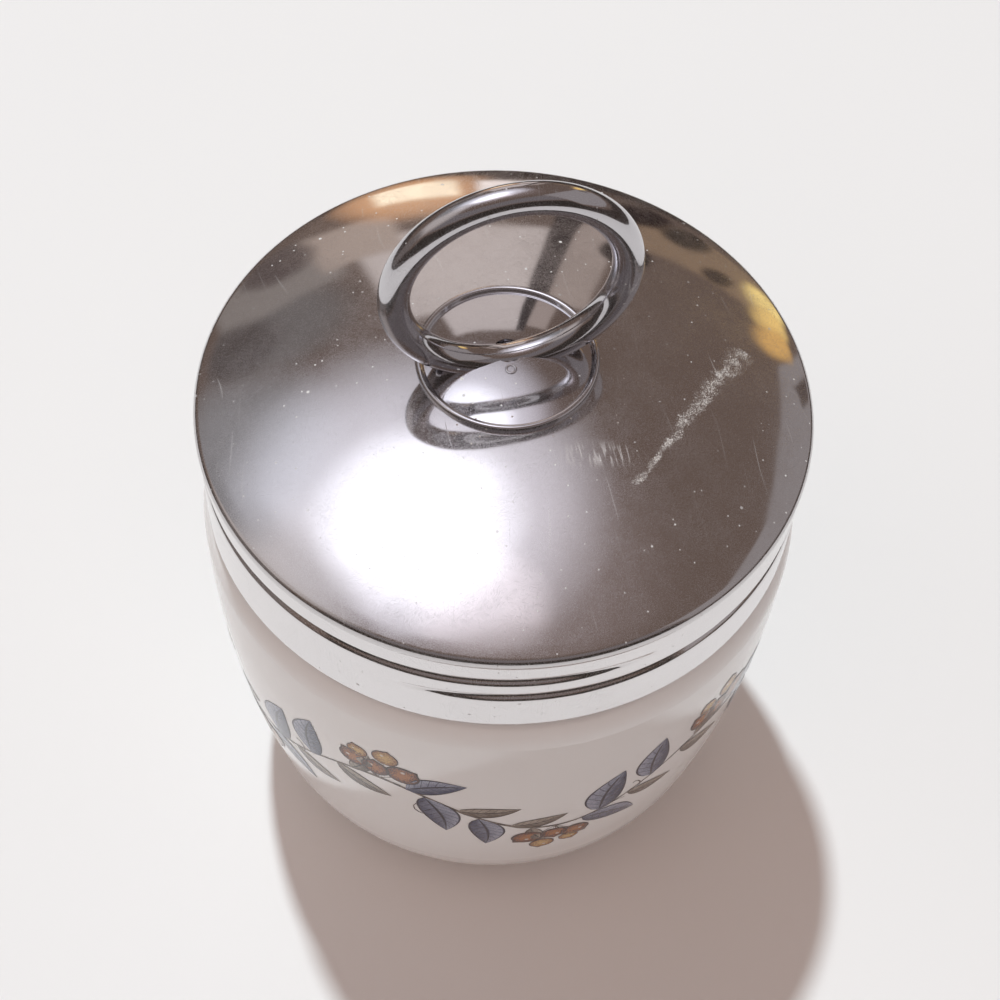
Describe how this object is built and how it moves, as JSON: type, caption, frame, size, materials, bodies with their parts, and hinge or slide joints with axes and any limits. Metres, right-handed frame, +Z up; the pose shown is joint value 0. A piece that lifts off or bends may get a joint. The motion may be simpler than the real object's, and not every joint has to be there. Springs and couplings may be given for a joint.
{
  "type": "egg coddler",
  "caption": "Porcelain egg cooking cup with a screw-on domed metal lid and an upright lifting ring.",
  "frame": {"origin": "centre of the foot, on the plane it stands on", "axes": "+Z up the axis of the pot, and the lifting ring lies in the XZ plane"},
  "size_m": [0.0626, 0.0626, 0.0922],
  "materials": {
    "porcelain": "glossy glaze",
    "lid_metal": "bright plated, lightly scratched",
    "burr_metal": "plain plated"
  },
  "bodies": {
    "cup": {"porcelain_cup": "porcelain"},
    "lid_core": {"shank_burr": "burr_metal"},
    "lid": {"lid_shell": "lid_metal", "ring_collar": "lid_metal", "lifting_ring": "lid_metal"}
  },
  "joints": [
    {"name": "lid_rise", "type": "slide", "parent": "cup", "child": "lid_core", "axis": [0, 0, 1], "range_m": [0, 0.014]},
    {"name": "lid_turn", "type": "hinge", "parent": "lid_core", "child": "lid", "pos_m": [0, 0, 0.062], "axis": [0, 0, 1], "range_deg": [0, 1800]}
  ],
  "couplings": [
    {"joint": "lid_rise", "follows": "lid_turn", "m_per_rad": 0.00044563}
  ]
}
